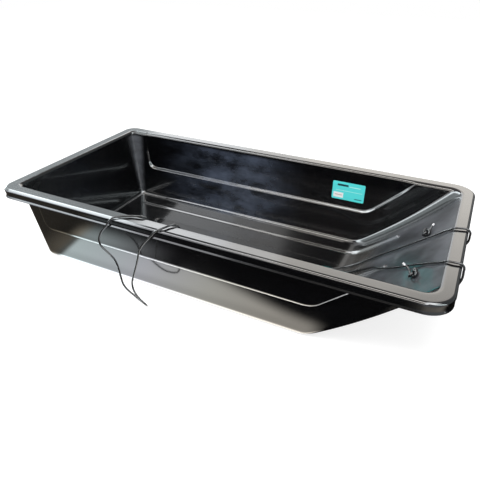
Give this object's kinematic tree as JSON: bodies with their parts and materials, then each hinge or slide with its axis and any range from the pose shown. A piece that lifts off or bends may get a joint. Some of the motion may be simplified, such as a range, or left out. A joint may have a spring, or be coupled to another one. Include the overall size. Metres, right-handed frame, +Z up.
{
  "type": "utility sled",
  "caption": "Moulded plastic tub sled with a sloping front ramp, a turned-down rim, stepped side panels, floor beads and a knotted tow rope.",
  "frame": {"origin": "on the ground under the middle of the tub's outline, without the rope", "axes": "+X towards the sloping front ramp, +Y to the label's side, +Z up"},
  "size_m": [1.1396, 0.5957, 0.2288],
  "materials": {
    "tub_plastic": "glossy black thermoformed sheet",
    "rope_fibre": "smooth black braided cord",
    "label_film": null
  },
  "bodies": {
    "root": {"tub": "tub_plastic", "tow_rope": "rope_fibre", "knot_far": "rope_fibre", "knot_near": "rope_fibre", "label": "label_film"}
  },
  "joints": []
}
